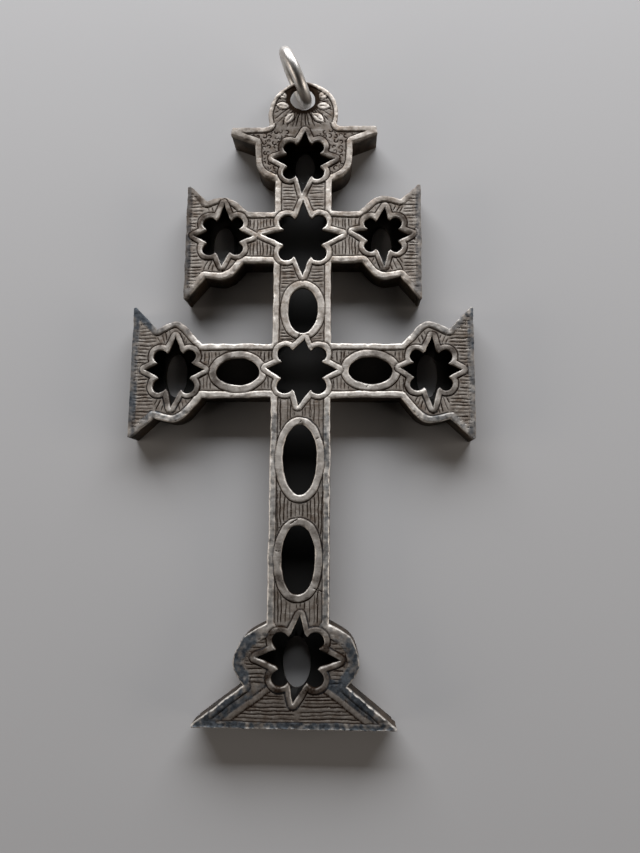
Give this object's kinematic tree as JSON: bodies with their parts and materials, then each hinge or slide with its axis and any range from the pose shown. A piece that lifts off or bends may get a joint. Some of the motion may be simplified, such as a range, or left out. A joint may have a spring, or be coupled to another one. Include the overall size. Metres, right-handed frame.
{
  "type": "reliquary cross pendant",
  "caption": "Double-barred reliquary cross: a shallow engraved case with pierced star and oval windows, a hinged pierced back cover and a ring at the top.",
  "frame": {"origin": "on the back, under the crossing of the stem and the lower bar", "axes": "+X to the right seen from the front, +Y up the stem towards the ring, +Z out of the engraved front"},
  "size_m": [0.0476, 0.0954, 0.0088],
  "materials": {
    "cast_silver": "old cast silver, engraved, dark in the grooves and worn bright on the edges",
    "sheet_silver": "old silver sheet, dull and dark",
    "cover_silver": "old silver sheet, rubbed where the cross lies on it",
    "wire_silver": "drawn silver wire, smooth and bright"
  },
  "bodies": {
    "case": {"front_grille": "cast_silver", "end_wall_top": "sheet_silver", "end_wall_upper_left": "sheet_silver", "end_wall_upper_right": "sheet_silver", "end_wall_lower_left": "sheet_silver", "end_wall_lower_right": "sheet_silver", "end_wall_foot": "sheet_silver", "side_wall_top_left": "sheet_silver", "side_wall_top_right": "sheet_silver", "side_wall_middle_left": "sheet_silver", "side_wall_middle_right": "sheet_silver", "side_wall_lower_left": "sheet_silver", "side_wall_lower_right": "sheet_silver", "bearer_upper_left": "sheet_silver", "bearer_upper_right": "sheet_silver", "bearer_lower_left": "sheet_silver", "bearer_lower_right": "sheet_silver", "hinge_knuckle_left": "sheet_silver", "hinge_knuckle_right": "sheet_silver", "hinge_pin": "wire_silver"},
    "cover": {"back_cover": "cover_silver", "catch_tongue": "sheet_silver", "hinge_knuckle_cover": "sheet_silver"},
    "ring": {"jump_ring": "wire_silver"}
  },
  "joints": [
    {"name": "cover_hinge", "type": "hinge", "parent": "case", "child": "cover", "pos_m": [0, -0.04703, 0.0006], "axis": [-1, 0, 0], "range_deg": [0, 150]},
    {"name": "ring_swing", "type": "hinge", "parent": "case", "child": "ring", "pos_m": [-0.00025, 0.04102, 0.0036], "axis": [0, 0, 1], "range_deg": [-111.5, 68.5]}
  ]
}
